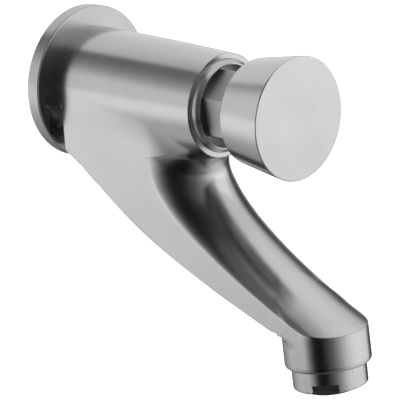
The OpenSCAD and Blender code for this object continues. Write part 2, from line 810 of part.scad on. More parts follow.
module aerator_insert() {
    color("#303030") on_outlet() difference() {
        union() {
            drum(insert_r, insert_at, screen_at);
            drum(insert_r - aerator_lip, nozzle_at, screen_at);
        }
        drum(jet_r, nozzle_at - past, screen_at + past);
        for (k = [1:jet_rings])
            ring_of(jets_per_ring*k, jet_ring_step*k) drum(jet_r, nozzle_at - past, screen_at + past);
    }
}

screen_bar = 0.5;

module aerator_screen() {
    color("lightgray") on_outlet() translate([0, 0, screen_at])
        grid_disc(insert_r, aerator_lip, screen_t, screen_bar, mesh_pitch);
}

module aerator_gasket() {
    color("#202020") on_outlet() ring(thread_r, outlet_space_r, gasket_at, outlet_socket_l);
}

tap_body();
wall_flange();
flange_gasket();
inlet_nipple();
nipple_washer();
inlet_strainer();
timing_cylinder();
return_spring();
piston();
lip_seal();
valve_washer();
push_rod();
valve_seat();
seat_ring();
cartridge_cage();
bonnet();
bonnet_ring();
guide_bush();
rod_seal();
bush_clip();
bezel_ring();
button_cap();
button_nut();
aerator_shell();
aerator_insert();
aerator_screen();
aerator_gasket();
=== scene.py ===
import json
from math import cos, pi, radians, sin, sqrt, tan

import bmesh
import bpy
from mathutils import Matrix, Vector


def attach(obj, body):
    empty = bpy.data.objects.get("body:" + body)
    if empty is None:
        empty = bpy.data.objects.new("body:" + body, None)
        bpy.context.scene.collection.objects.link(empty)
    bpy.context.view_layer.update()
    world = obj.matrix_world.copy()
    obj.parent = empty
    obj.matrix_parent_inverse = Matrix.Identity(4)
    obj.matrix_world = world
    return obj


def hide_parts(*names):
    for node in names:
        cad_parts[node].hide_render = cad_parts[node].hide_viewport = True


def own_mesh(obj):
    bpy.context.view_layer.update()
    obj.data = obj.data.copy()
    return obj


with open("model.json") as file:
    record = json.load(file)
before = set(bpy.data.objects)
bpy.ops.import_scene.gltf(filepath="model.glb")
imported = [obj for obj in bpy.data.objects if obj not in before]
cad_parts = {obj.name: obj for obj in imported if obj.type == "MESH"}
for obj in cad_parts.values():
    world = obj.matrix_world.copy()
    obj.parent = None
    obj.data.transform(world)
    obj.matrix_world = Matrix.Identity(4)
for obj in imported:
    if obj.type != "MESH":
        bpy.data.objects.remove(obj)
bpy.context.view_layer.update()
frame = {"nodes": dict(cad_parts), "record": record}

scene = bpy.context.scene
scene.view_settings.view_transform = "Standard"
mm = 0.001

# the aerator's own frame: its axis leans forward, and z runs up into the barrel
outlet = {"reach": 114.6, "drop": 88.2, "tilt": 3.75}
outletFrame = (Matrix.Translation((0, -outlet["reach"] * mm, -outlet["drop"] * mm))
               @ Matrix.Rotation(-radians(outlet["tilt"]), 4, "X"))
onOutlet = outletFrame @ Matrix.Rotation(-pi / 2, 4, "X")  # a turned piece, stood up on the outlet


# finishes

def newFinish(name):
    mat = bpy.data.materials.new(name)
    mat.use_nodes = True
    tree = mat.node_tree
    shader = tree.nodes["Principled BSDF"]
    where = tree.nodes.new("ShaderNodeTexCoord").outputs["Object"]
    return mat, tree, shader, where


def reckon(tree, operation, *values):
    node = tree.nodes.new("ShaderNodeMath")
    node.operation = operation
    for socket, value in zip(node.inputs, values):
        if isinstance(value, (int, float)):
            socket.default_value = value
        else:
            tree.links.new(value, socket)
    return node.outputs[0]


def stretched(tree, where, scale):
    node = tree.nodes.new("ShaderNodeMapping")
    node.inputs["Scale"].default_value = scale
    tree.links.new(where, node.inputs["Vector"])
    return node.outputs[0]


def roundTheAxis(tree, where):
    # radius, station and nothing else, so that a pattern runs round the button's axis
    parts = tree.nodes.new("ShaderNodeSeparateXYZ")
    tree.links.new(where, parts.inputs[0])
    across = reckon(tree, "POWER", parts.outputs["X"], 2.0)
    upward = reckon(tree, "POWER", parts.outputs["Z"], 2.0)
    radius = reckon(tree, "SQRT", reckon(tree, "ADD", across, upward))
    joined = tree.nodes.new("ShaderNodeCombineXYZ")
    tree.links.new(radius, joined.inputs["X"])
    tree.links.new(parts.outputs["Y"], joined.inputs["Y"])
    return joined.outputs[0]


def noise(tree, where, scale, detail=3.0, rough=0.55):
    node = tree.nodes.new("ShaderNodeTexNoise")
    node.inputs["Scale"].default_value = scale
    node.inputs["Detail"].default_value = detail
    node.inputs["Roughness"].default_value = rough
    tree.links.new(where, node.inputs["Vector"])
    return node.outputs["Fac"]


def spreadTo(tree, value, low, high, start=0.3, stop=0.7):
    node = tree.nodes.new("ShaderNodeMapRange")
    for label, number in (("From Min", start), ("From Max", stop), ("To Min", low), ("To Max", high)):
        node.inputs[label].default_value = number
    tree.links.new(value, node.inputs["Value"])
    return node.outputs["Result"]


def tinted(tree, value, dark, light):
    ramp = tree.nodes.new("ShaderNodeValToRGB")
    ramp.color_ramp.elements[0].position = 0.3
    ramp.color_ramp.elements[1].position = 0.7
    ramp.color_ramp.elements[0].color = (*dark, 1)
    ramp.color_ramp.elements[1].color = (*light, 1)
    tree.links.new(value, ramp.inputs["Fac"])
    return ramp.outputs["Color"]


def raised(tree, shader, value, strength, distance):
    bump = tree.nodes.new("ShaderNodeBump")
    bump.inputs["Strength"].default_value = strength
    bump.inputs["Distance"].default_value = distance
    tree.links.new(value, bump.inputs["Height"])
    tree.links.new(bump.outputs["Normal"], shader.inputs["Normal"])


chromeLook = {"dark": (0.46, 0.462, 0.458), "light": (0.5, 0.5, 0.492), "smooth": 0.18, "dull": 0.25,
              "grain": 2600.0, "cloud": 55.0, "grainDepth": 0.00002, "grainStrength": 0.05,
              "brushed": (1.0, 0.03, 1.0)}  # the grain is drawn out along the body


def satinChrome(name, turnedGrain=False, matt=0.0, pale=0.0):
    mat, tree, shader, where = newFinish(name)
    shader.inputs["Metallic"].default_value = 1.0
    cloud = noise(tree, where, chromeLook["cloud"], 4.0)
    if turnedGrain:
        grainAt = roundTheAxis(tree, where)
    else:
        grainAt = stretched(tree, where, chromeLook["brushed"])
    grain = noise(tree, grainAt, chromeLook["grain"], 2.0)
    # pale lifts or lowers a part's whole tone: painted light or painted shade
    tones = ([v + pale for v in chromeLook[k]] for k in ("dark", "light"))
    tree.links.new(tinted(tree, cloud, *tones), shader.inputs["Base Color"])
    dullness = reckon(tree, "ADD", reckon(tree, "MULTIPLY", cloud, 0.5), reckon(tree, "MULTIPLY", grain, 0.5))
    tree.links.new(spreadTo(tree, dullness, chromeLook["smooth"] + matt, chromeLook["dull"] + matt),
                   shader.inputs["Roughness"])
    raised(tree, shader, grain, chromeLook["grainStrength"], chromeLook["grainDepth"])
    return mat


def plainMetal(name, dark, light, smooth, dull, scale):
    mat, tree, shader, where = newFinish(name)
    shader.inputs["Metallic"].default_value = 1.0
    stain = noise(tree, where, scale, 5.0)
    scratch = noise(tree, roundTheAxis(tree, where), scale * 22, 2.0)
    tree.links.new(tinted(tree, stain, dark, light), shader.inputs["Base Color"])
    tree.links.new(spreadTo(tree, stain, smooth, dull), shader.inputs["Roughness"])
    raised(tree, shader, scratch, 0.12, 0.00004)
    return mat


def moulded(name, dark, light, smooth, dull, scale, depth):
    mat, tree, shader, where = newFinish(name)
    speck = noise(tree, where, scale, 4.0)
    mottle = noise(tree, where, scale / 14, 3.0)
    tree.links.new(tinted(tree, mottle, dark, light), shader.inputs["Base Color"])
    tree.links.new(spreadTo(tree, speck, smooth, dull), shader.inputs["Roughness"])
    raised(tree, shader, speck, 0.25, depth)
    return mat


bodyChrome = satinChrome("bodyChrome")
turnedChrome = satinChrome("turnedChrome", True)
# the hexagon's chrome: rougher, as milled, and paler all over, a painted lift for the sky light on its flats
milledLitChrome = satinChrome("milledLitChrome", True, 0.36, 0.12)
# the flange's chrome, darker all over: painted shade for the dark reflections on its flat face
flangeShadeChrome = satinChrome("flangeShadeChrome", True, 0.04, -0.064)
inletBrass = plainMetal("inletBrass", (0.52, 0.34, 0.13), (0.74, 0.53, 0.24), 0.22, 0.4, 160.0)
springSteel = plainMetal("springSteel", (0.46, 0.46, 0.47), (0.6, 0.6, 0.6), 0.2, 0.36, 220.0)
whiteAcetal = moulded("whiteAcetal", (0.76, 0.75, 0.71), (0.84, 0.83, 0.8), 0.34, 0.5, 2400.0, 0.00002)
darkPlastic = moulded("darkPlastic", (0.012, 0.012, 0.013), (0.02, 0.02, 0.022), 0.6, 0.75, 2600.0, 0.00003)
sealRubber = moulded("sealRubber", (0.012, 0.012, 0.012), (0.03, 0.03, 0.029), 0.6, 0.8, 1900.0, 0.00005)
washerFibre = moulded("washerFibre", (0.2, 0.045, 0.03), (0.36, 0.1, 0.06), 0.7, 0.9, 1400.0, 0.00008)
print("finishes made")


# a turned piece: a profile of (radius, station) carried round the axis, with flats, turns and a lead

def buildTurnTree():
    tree = bpy.data.node_groups.new("turnedPiece", "GeometryNodeTree")
    tree.interface.new_socket("Profile", in_out="INPUT", socket_type="NodeSocketGeometry")
    for label, kind in (("Steps", "Int"), ("Turns", "Float"), ("Lead", "Float"), ("Start", "Float"),
                        ("Fade", "Float"), ("Root", "Float"), ("Corner", "Float"), ("Finish", "Material")):
        tree.interface.new_socket(label, in_out="INPUT", socket_type="NodeSocket" + kind)
    tree.interface.new_socket("Piece", in_out="OUTPUT", socket_type="NodeSocketGeometry")
    link = tree.links.new
    given = tree.nodes.new("NodeGroupInput").outputs
    done = tree.nodes.new("NodeGroupOutput").inputs

    size = tree.nodes.new("GeometryNodeAttributeDomainSize")
    link(given["Profile"], size.inputs["Geometry"])
    points = size.outputs["Point Count"]
    grid = tree.nodes.new("GeometryNodeMeshGrid")
    link(reckon(tree, "ADD", given["Steps"], 1.0), grid.inputs["Vertices X"])
    link(points, grid.inputs["Vertices Y"])

    index = tree.nodes.new("GeometryNodeInputIndex").outputs[0]
    column = reckon(tree, "FLOOR", reckon(tree, "DIVIDE", reckon(tree, "ADD", index, 0.5), points))
    row = reckon(tree, "ADD", reckon(tree, "SUBTRACT", index, reckon(tree, "MULTIPLY", column, points)), 0.25)
    turnAt = reckon(tree, "MULTIPLY", reckon(tree, "DIVIDE", column, given["Steps"]), given["Turns"])
    swing = reckon(tree, "MULTIPLY", turnAt, 2 * pi)
    angle = reckon(tree, "ADD", swing, given["Start"])

    place = tree.nodes.new("GeometryNodeSampleIndex")
    place.data_type = "FLOAT_VECTOR"
    link(given["Profile"], place.inputs["Geometry"])
    link(tree.nodes.new("GeometryNodeInputPosition").outputs[0], place.inputs["Value"])
    link(row, place.inputs["Index"])
    apart = tree.nodes.new("ShaderNodeSeparateXYZ")
    link(place.outputs[0], apart.inputs[0])

    named = tree.nodes.new("GeometryNodeInputNamedAttribute")
    named.data_type = "FLOAT"
    named.inputs["Name"].default_value = "flat"
    flatness = tree.nodes.new("GeometryNodeSampleIndex")
    flatness.data_type = "FLOAT"
    link(given["Profile"], flatness.inputs["Geometry"])
    link(named.outputs["Attribute"], flatness.inputs["Value"])
    link(row, flatness.inputs["Index"])

    # six flats: the distance to a side grows towards the corners, which are turned down a little
    within = reckon(tree, "SUBTRACT", reckon(tree, "MODULO", reckon(tree, "ADD", swing, 0.0001), pi / 3),
                    pi / 6)
    toCorner = reckon(tree, "MINIMUM", reckon(tree, "DIVIDE", 1.0, reckon(tree, "COSINE", within)),
                      given["Corner"])
    stretch = reckon(tree, "ADD", 1.0, reckon(tree, "MULTIPLY", flatness.outputs[0],
                                              reckon(tree, "SUBTRACT", toCorner, 1.0)))

    # both ends of a thread rise out of its core
    toEnd = reckon(tree, "MINIMUM", turnAt, reckon(tree, "SUBTRACT", given["Turns"], turnAt))
    rise = reckon(tree, "DIVIDE", reckon(tree, "ADD", toEnd, 0.000001),
                  reckon(tree, "MAXIMUM", given["Fade"], 0.000001))
    rise = reckon(tree, "MAXIMUM", reckon(tree, "MINIMUM", rise, 1.0), 0.0)
    radius = reckon(tree, "MULTIPLY", apart.outputs["X"], stretch)
    radius = reckon(tree, "ADD", given["Root"], reckon(tree, "MULTIPLY", rise,
                                                       reckon(tree, "SUBTRACT", radius, given["Root"])))

    station = reckon(tree, "ADD", apart.outputs["Z"], reckon(tree, "MULTIPLY", turnAt, given["Lead"]))
    joined = tree.nodes.new("ShaderNodeCombineXYZ")
    link(reckon(tree, "MULTIPLY", radius, reckon(tree, "COSINE", angle)), joined.inputs["X"])
    link(reckon(tree, "MULTIPLY", station, -1.0), joined.inputs["Y"])
    link(reckon(tree, "MULTIPLY", radius, reckon(tree, "SINE", angle)), joined.inputs["Z"])

    moved = tree.nodes.new("GeometryNodeSetPosition")
    link(grid.outputs["Mesh"], moved.inputs["Geometry"])
    link(joined.outputs[0], moved.inputs["Position"])
    merged = tree.nodes.new("GeometryNodeMergeByDistance")
    merged.inputs["Distance"].default_value = 0.000001
    link(moved.outputs[0], merged.inputs["Geometry"])
    real = tree.nodes.new("GeometryNodeRealizeInstances")
    link(merged.outputs[0], real.inputs["Geometry"])
    dressed = tree.nodes.new("GeometryNodeSetMaterial")
    link(real.outputs[0], dressed.inputs["Geometry"])
    link(given["Finish"], dressed.inputs["Material"])
    link(dressed.outputs[0], done["Piece"])
    return tree


def setInput(modifier, label, value):
    for item in modifier.node_group.interface.items_tree:
        if item.in_out == "INPUT" and item.name == label:
            modifier[item.identifier] = value


def settle(blank, place=None, sharp=35.0):
    # the evaluated shape becomes a plain mesh, closed, facing outwards and smooth up to its edges
    evaluated = blank.evaluated_get(bpy.context.evaluated_depsgraph_get())
    mesh = bpy.data.meshes.new_from_object(evaluated)
    blank.modifiers.clear()
    old = blank.data
    blank.data = mesh
    bpy.data.meshes.remove(old)
    mesh.name = blank.name
    if place is not None:
        mesh.transform(place)
    work = bmesh.new()
    work.from_mesh(mesh)
    bmesh.ops.remove_doubles(work, verts=work.verts, dist=0.000002)
    bmesh.ops.holes_fill(work, edges=[e for e in work.edges if e.is_boundary], sides=0)
    bmesh.ops.recalc_face_normals(work, faces=work.faces)
    work.to_mesh(mesh)
    work.free()
    mesh.shade_smooth()
    mesh.set_sharp_from_angle(angle=radians(sharp))
    return blank


turnTree = buildTurnTree()


def turned(name, profile, finish, steps=192, turns=1.0, lead=0.0, start=0.0, fade=0.0, root=0.0, corner=1.2,
           place=None, sharp=35.0):
    mesh = bpy.data.meshes.new(name)
    mesh.from_pydata([(p[0] * mm, 0, p[1] * mm) for p in profile],
                     [(i, i + 1) for i in range(len(profile) - 1)], [])
    flat = mesh.attributes.new("flat", "FLOAT", "POINT")
    for i, p in enumerate(profile):
        flat.data[i].value = p[2] if len(p) > 2 else 0.0
    blank = bpy.data.objects.new(name, mesh)
    scene.collection.objects.link(blank)
    modifier = blank.modifiers.new("turn", "NODES")
    modifier.node_group = turnTree
    for label, value in (("Steps", steps), ("Turns", turns), ("Lead", lead * mm), ("Start", radians(start)),
                         ("Fade", fade), ("Root", root * mm), ("Corner", corner), ("Finish", finish)):
        setInput(modifier, label, value)
    return settle(blank, place, sharp)


def softened(corners, closed=True, arc=5, hold=0.15):
    # each corner (radius, station, rounding) becomes an arc,
    # with a point on either side that holds the flats true
    path = []
    count = len(corners)
    for i, (r, s, rounding) in enumerate(corners):
        here = Vector((r, s))
        if rounding == 0 or not closed and i in (0, count - 1):
            path.append((r, s))
            continue
        before = Vector(corners[i - 1][:2]) - here
        after = Vector(corners[(i + 1) % count][:2]) - here
        half = before.angle(after) / 2
        back = rounding / tan(half)
        middle = here + (before.normalized() + after.normalized()).normalized() * (rounding / sin(half))
        first = here + before.normalized() * back - middle
        sweep = (pi - 2 * half) * (1 if first.cross(here - middle) > 0 else -1)
        keep = min(hold, 0.3 * (before.length - back), 0.3 * (after.length - back))
        path.append(tuple(here + before.normalized() * (back + keep)))
        for k in range(arc + 1):
            path.append(tuple(middle + Matrix.Rotation(sweep * k / arc, 2) @ first))
        path.append(tuple(here + after.normalized() * (back + keep)))
    return path + path[:1] if closed else path


def cutAway(piece, *cutters, joined=()):
    for other in joined:
        modifier = piece.modifiers.new("join", "BOOLEAN")
        modifier.operation, modifier.solver, modifier.object = "UNION", "EXACT", other
    for other in cutters:
        modifier = piece.modifiers.new("cut", "BOOLEAN")
        modifier.operation, modifier.solver, modifier.object = "DIFFERENCE", "EXACT", other
    settle(piece)
    for other in (*cutters, *joined):
        bpy.data.objects.remove(other)
    return piece


# cast body: round at the back, drawn down into a fin with a crowned tongue and an upright barrel

cast = {"flangeFace": 5.3, "backR": 20.5, "mouthR": 18.85, "mouthAt": 72.5, "mouthBevel": 0.25, "bulge": 0.3,
        "barrelR": 15.5, "barrelBevel": 1.1, "noseHeight": 12.9, "bellyHeight": 10.0, "bellyRun": 10.2,
        "finGap": 3.0, "finEdge": 3.0, "heelEdge": 1.0, "heelRun": 6.0, "heelSlope": 38.8, "heelPull": 40.6,
        "bellySlope": 20.8, "bellyPull": 63.5, "drawStart": 6.7,
        "neckLean": 44.0, "neckPull": 21.7, "neckDepth": 16.0, "neckStart": 24.0, "neckInset": 2.6,
        "neckDrop": 15.0, "neckBlend": 5.0, "neckFade": 4.0, "blendMost": 0.6,
        "tongueSlope": 22.0, "tonguePull": 30.0, "tongueCrown": 11.2, "crownPower": 1.4, "tipRun": 2.0,
        "creaseSoft": 0.5, "bellySoft": 1.5, "softFrom": 3.0, "softRun": 6.0,
        "wallPoints": 46, "crownPoints": 38, "bevelPoints": 3, "topRows": 24, "flankRows": 30, "finRows": 96,
        "creaseRows": 64, "barrelRows": 12, "edgeRows": 5, "creaseZone": (4.4, 0.5),
        "heelRows": (-19.6, -19.9, -20.15, -20.35, -20.47)}


def lerp(a, b, t):
    return a + (b - a) * t


def clamp(t):
    return min(1.0, max(0.0, t))


def ease(a, b, x):
    t = clamp((x - a) / (b - a))
    return t * t * (3 - 2 * t)


def quarter(x, power=2.0):
    return sqrt(1 - clamp(x) ** power)


def softMax(a, b, k):
    h = max(k - abs(a - b), 0) / max(k, 0.001)
    return max(a, b) + h * h * k / 4


def softMin(a, b, k):
    return -softMax(-a, -b, k)


def spread(low, high, count):
    return [lerp(low, high, (1 - cos(pi * k / (count - 1))) / 2) for k in range(count)]


def stationOn(curve, height):
    low, high = 0.0, 1.0
    for _ in range(40):
        t = (low + high) / 2
        u = 1 - t
        point = u ** 3 * curve[0] + 3 * u * u * t * curve[1] + 3 * u * t * t * curve[2] + t ** 3 * curve[3]
        low, high = (t, high) if point.y > height else (low, t)
    return point.x


def castRings(c):
    lean = tan(radians(outlet["tilt"]))
    drop, mouthAt, mouthR, bevel = outlet["drop"], c["mouthAt"], c["mouthR"], c["mouthBevel"]
    tipZ, bellyZ = c["noseHeight"] - drop, c["bellyHeight"] - drop
    finBack, heelZ = c["flangeFace"] + c["finGap"], -c["backR"] - 0.1

    def barrelAt(z):
        return outlet["reach"] - (z + drop) * lean

    def away(angle, length, down=-1):
        return Vector((cos(radians(angle)), down * sin(radians(angle)))) * length

    neckTop = Vector((mouthAt - c["neckInset"], -mouthR))
    bevelAt = mouthAt - bevel
    tongueTip = Vector((barrelAt(tipZ) + c["barrelR"] + c["tipRun"], tipZ))
    tongue = (neckTop, neckTop - away(90 - c["neckLean"], c["neckPull"], 1),
              tongueTip - away(c["tongueSlope"], c["tonguePull"]), tongueTip)
    heel = Vector((finBack, heelZ))
    bellyEnd = Vector((barrelAt(bellyZ) - c["barrelR"] + c["bellyRun"], bellyZ))
    belly = (heel, heel + away(c["heelSlope"], c["heelPull"]),
             bellyEnd - away(c["bellySlope"], c["bellyPull"]), bellyEnd)

    def taper(s):
        along = (s - c["flangeFace"]) / (mouthAt - c["flangeFace"])
        return lerp(c["backR"], mouthR, along) + 4 * c["bulge"] * along * (1 - along)

    def roundR(s):
        return taper(s) - max(0.0, s - bevelAt)

    def crownRun(start, front, beveled):
        # stations up to the front, with the mouth's bevel as steps of its own
        if not beveled:
            return spread(start, front, c["crownPoints"])[1:]
        bevelRun = [lerp(bevelAt, front, (k + 1) / c["bevelPoints"]) for k in range(c["bevelPoints"])]
        return spread(start, bevelAt, c["crownPoints"] - c["bevelPoints"])[1:] + bevelRun

    def neckRun(z):
        # the neck's own slope is carried up into the round body, where it fades out
        left = 1 - clamp((z - neckTop.y) / c["neckFade"])
        return neckTop.x + tan(radians(c["neckLean"])) * c["neckFade"] / 2 * (1 - left * left)

    def creaseAt(axis, tongueAt, crown, front):
        # where the tongue's crown starts, or the edge where it meets the barrel's wall
        if tongueAt - crown < axis:
            return tongueAt - crown
        low, high = axis, min(tongueAt, axis + c["barrelR"])
        if tongueAt >= axis + c["barrelR"]:
            return front
        for _ in range(40):
            s = (low + high) / 2
            crowned = quarter((s - tongueAt + crown) / crown, c["crownPower"])
            low, high = (s, high) if crowned > quarter((s - axis) / c["barrelR"]) else (low, s)
        return s

    def level(z, draw=1.0):
        axis = barrelAt(z)
        tongueAt = neckRun(z) if z > neckTop.y else 1000.0 if z < tipZ else stationOn(tongue, z)
        bellyAt = finBack if z >= heelZ else 1000.0 if z < bellyZ else stationOn(belly, z)
        into = -z - mouthR + bevel
        front = min(tongueAt, axis + c["barrelR"])
        if into < bevel:
            front = mouthAt - max(into, 0)
        back = c["flangeFace"] if z > -c["backR"] else min(bellyAt, axis - c["barrelR"])
        crown = lerp(c["neckDepth"], c["tongueCrown"], ease(0, 1, (neckTop.y - z) / (neckTop.y - tipZ)))
        crown = lerp(tongueAt - mouthAt + c["neckStart"], crown, ease(0, c["neckDrop"], neckTop.y - z))
        backEdge = lerp(c["finEdge"], c["heelEdge"], ease(heelZ - c["heelRun"], heelZ, z))
        half = []
        stations = spread(back, creaseAt(axis, tongueAt, crown, front), c["wallPoints"])
        stations += crownRun(stations[-1], front, into < bevel)
        for i, s in enumerate(stations):
            roundPart = sqrt(max(0.0, roundR(min(s, mouthAt)) ** 2 - z * z))
            width = lerp(taper(min(s, mouthAt)), c["barrelR"], ease(finBack + c["drawStart"], axis, s))
            tonguePart = quarter((s - tongueAt + crown) / crown, c["crownPower"])
            nosePart = quarter((s - axis) / c["barrelR"])
            bellyPart = 0.0 if s < bellyAt else quarter((bellyAt + backEdge - s) / backEdge)
            barrelPart = quarter(abs(s - axis) / c["barrelR"])
            edge = min(c["creaseSoft"], 2 * c["barrelR"] * min(tonguePart, nosePart))
            finPart = min(softMin(width * tonguePart, width * nosePart, edge), width * bellyPart)
            barrelWall = softMin(c["barrelR"] * tonguePart, c["barrelR"] * barrelPart, edge)
            soft = c["bellySoft"] * ease(0.0, c["softFrom"], min(finPart, barrelWall))
            finPart = softMax(finPart, barrelWall, soft * ease(axis, axis - c["softRun"], s))
            blend = c["neckBlend"] * max(0.0, -z) / max(roundPart, 1.0)
            x = softMax(roundPart, finPart, min(blend, c["blendMost"] * finPart))
            if i == 0 and z < heelZ or i == len(stations) - 1 and z <= -mouthR:
                x = 0.0
            out = (s - axis) * draw
            half.append((x * draw, -axis - out, z + out * ease(tipZ, -drop, z) * lean))
        return half

    rings = []
    for k in range(c["topRows"]):
        a = pi / 2 * k / c["topRows"]
        half = []
        stations = spread(c["flangeFace"], neckTop.x - c["neckDepth"], c["wallPoints"])
        stations += crownRun(stations[-1], mouthAt, True)
        for s in stations:
            half.append((roundR(s) * sin(a), -s, roundR(s) * cos(a)))
        rings.append(half)
    heights = [-mouthR * sin(pi / 2 * k / c["flankRows"]) for k in range(c["flankRows"])]
    heights += [-mouthR + 0.02, -mouthR - 0.05, *c["heelRows"], heelZ - 0.02]
    zoneTop, zoneEnd = (tipZ + rise for rise in c["creaseZone"])
    heights += [lerp(heelZ - 0.02, zoneTop, (k + 1) / c["finRows"]) for k in range(c["finRows"])]
    heights += [lerp(zoneTop, zoneEnd, (k + 1) / c["creaseRows"]) for k in range(c["creaseRows"])]
    heights += [lerp(zoneEnd, c["barrelBevel"] - drop, (k + 1) / c["barrelRows"])
                for k in range(c["barrelRows"])]
    rings += [level(z) for z in heights]
    for k in range(1, c["edgeRows"] + 1):  # the lower edge, a bevel with soft corners
        a = pi / 2 * k / c["edgeRows"]
        draw = 1 - c["barrelBevel"] * (1 - cos(a)) / c["barrelR"]
        rings.append(level(c["barrelBevel"] * (1 - sin(a)) - drop, draw))
    return rings


def castSkin(name, rings, finish):
    points, faces = [], []
    for half in rings:
        points += half + [(-x, y, z) for x, y, z in reversed(half)]
    n = 2 * len(rings[0])
    for k in range(len(rings) - 1):
        for i in range(n):
            a, b = k * n + i, k * n + (i + 1) % n
            faces.append((a, b, b + n, a + n))
    mesh = bpy.data.meshes.new(name)
    mesh.from_pydata([(x * mm, y * mm, z * mm) for x, y, z in points], [], faces)
    mesh.materials.append(finish)
    skin = bpy.data.objects.new(name, mesh)
    scene.collection.objects.link(skin)
    return settle(skin)


bores = {"spigotR": 15.0, "spigotEnd": 1.5, "spigotIn": 8.3, "socketFrom": 0.5, "socketR": 9.1,
         "socketEnd": 11.1, "passageR": 7.5, "chamberAt": 15.2, "backR": 12.5, "stepAt": 38.0,
         "chamberR": 13.5, "ledgeAt": 67.0, "mouthR": 15.6, "mouthPast": 75.0, "threadR": 12.1,
         "threadEnd": 8.9, "spaceR": 9.4, "spaceEnd": 11.9, "outletPast": -1.0}

tapBody = castSkin("tapBody", castRings(cast), bodyChrome)
print("cast skin", len(tapBody.data.polygons), "faces")
b = bores
spigot = turned("spigot", [(0, b["spigotEnd"]), (b["spigotR"], b["spigotEnd"]), (b["spigotR"], b["spigotIn"]),
                           (0, b["spigotIn"])], bodyChrome)
mainBore = turned("mainBore", [
    (0, b["socketFrom"]), (b["socketR"], b["socketFrom"]), (b["socketR"], b["socketEnd"]),
    (b["passageR"], b["socketEnd"]), (b["passageR"], b["chamberAt"]), (b["backR"], b["chamberAt"]),
    (b["backR"], b["stepAt"]), (b["chamberR"], b["stepAt"]), (b["chamberR"], b["ledgeAt"]),
    (b["mouthR"], b["ledgeAt"]), (b["mouthR"], b["mouthPast"]), (0, b["mouthPast"])], bodyChrome)
outletBore = turned("outletBore", [
    (0, b["outletPast"]), (b["threadR"], b["outletPast"]), (b["threadR"], b["threadEnd"]),
    (b["spaceR"], b["threadEnd"]), (b["spaceR"], b["spaceEnd"]), (0, b["spaceEnd"])], bodyChrome,
    place=onOutlet)
cutAway(tapBody, mainBore, outletBore, joined=(spigot,))
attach(tapBody, "tap")
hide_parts("tap_body")
print("body bored", len(tapBody.data.polygons), "faces")


# wall flange, a shallow dish with a hub round the spigot

flange = {"radius": 28.0, "depth": 5.3, "plate": 2.3, "rim": 2.0, "hubIn": 15.2, "hubOut": 17.2,
          "hubEnd": 1.5, "edge": 0.55}
f = flange
wallFlange = turned("wallFlange", softened([
    (f["hubIn"], f["hubEnd"], 0.15), (f["hubOut"], f["hubEnd"], 0.15),
    (f["hubOut"], f["depth"] - f["plate"], 0.3), (f["radius"] - f["rim"], f["depth"] - f["plate"], 0.3),
    (f["radius"] - f["rim"], 0, 0.15), (f["radius"], 0, 0.25), (f["radius"], f["depth"], f["edge"]),
    (f["hubIn"], f["depth"], 0.15)]), flangeShadeChrome, steps=256)
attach(wallFlange, "tap")
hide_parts("wall_flange")


# bezel ring in the mouth

bezel = {"radius": 17.0, "rim": 16.5, "inner": 14.9, "seatR": 15.5, "back": 70.0, "mouth": 72.5,
         "rimAt": 73.8, "front": 74.8, "bevel": 1.1}
z = bezel
bezelRing = turned("bezelRing", softened([
    (z["inner"], z["back"], 0.1), (z["seatR"], z["back"], 0.1), (z["seatR"], z["mouth"], 0.1),
    (z["radius"], z["mouth"], 0.05), (z["rim"], z["rimAt"], 0.2), (z["rim"] - z["bevel"], z["front"], 0.15),
    (z["inner"], z["front"], 0.1)]), turnedChrome, steps=224)
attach(bezelRing, "tap")
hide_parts("bezel_ring")


# bonnet: a round nose in the chamber, a flange on the ledge and a hexagon in front

hexagon = {"flat": 12.0, "turn": 36.0, "nose": 56.0, "ledge": 67.0, "flangeEnd": 69.8, "end": 92.0,
           "noseR": 13.4, "flangeR": 15.4, "pocketR": 6.2, "pocketEnd": 66.1, "rodR": 3.4, "wellR": 6.97,
           "wellAt": 88.0, "ringAt": 58.0, "ringR": 11.6, "ringW": 1.0, "noseEdge": 0.4, "edge": 0.3,
           "endEdge": 0.8, "corner": 1.144, "sharp": 20.0}
h = hexagon
bonnetPath = [(h["pocketR"], h["nose"]), (h["noseR"] - h["noseEdge"], h["nose"]),
              (h["noseR"], h["nose"] + h["noseEdge"]), (h["noseR"], h["ringAt"] - h["ringW"]),
              (h["ringR"], h["ringAt"] - h["ringW"]), (h["ringR"], h["ringAt"] + h["ringW"]),
              (h["noseR"], h["ringAt"] + h["ringW"]), (h["noseR"], h["ledge"]), (h["flangeR"], h["ledge"]),
              (h["flangeR"], h["flangeEnd"] - h["edge"]), (h["flangeR"] - h["edge"], h["flangeEnd"]),
              (h["flat"], h["flangeEnd"], 1.0), (h["flat"], h["flangeEnd"] + h["edge"], 1.0),
              (h["flat"], h["end"] - h["endEdge"], 1.0), (h["flat"] - h["edge"], h["end"], 0.5),
              (h["wellR"], h["end"]), (h["wellR"], h["wellAt"]), (h["rodR"], h["wellAt"]),
              (h["rodR"], h["pocketEnd"]), (h["pocketR"], h["pocketEnd"]), (h["pocketR"], h["nose"])]
bonnetPiece = turned("bonnetHexagon", bonnetPath, milledLitChrome, steps=360, start=h["turn"],
                     corner=h["corner"], sharp=h["sharp"])
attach(bonnetPiece, "tap")
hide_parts("bonnet")


# push button, a flared cup with a flat face

button = {"faceR": 22.2, "backR": 19.0, "back": 88.1, "face": 108.0, "hollowR": 16.25, "hollowEnd": 101.0,
          "boreR": 2.6, "boreEnd": 106.0, "edge": 0.4}
p = button
buttonCap = turned("buttonCap", softened([
    (0, p["boreEnd"], 0), (p["boreR"], p["boreEnd"], 0.1), (p["boreR"], p["hollowEnd"], 0.2),
    (p["hollowR"], p["hollowEnd"], 0.8), (p["hollowR"], p["back"], 0.3), (p["backR"], p["back"], 0.35),
    (p["faceR"], p["face"], p["edge"]), (0, p["face"], 0)], closed=False), turnedChrome, steps=256)
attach(buttonCap, "button")
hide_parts("button_cap")
print("turned pieces made")


# aerator collar with two key notches

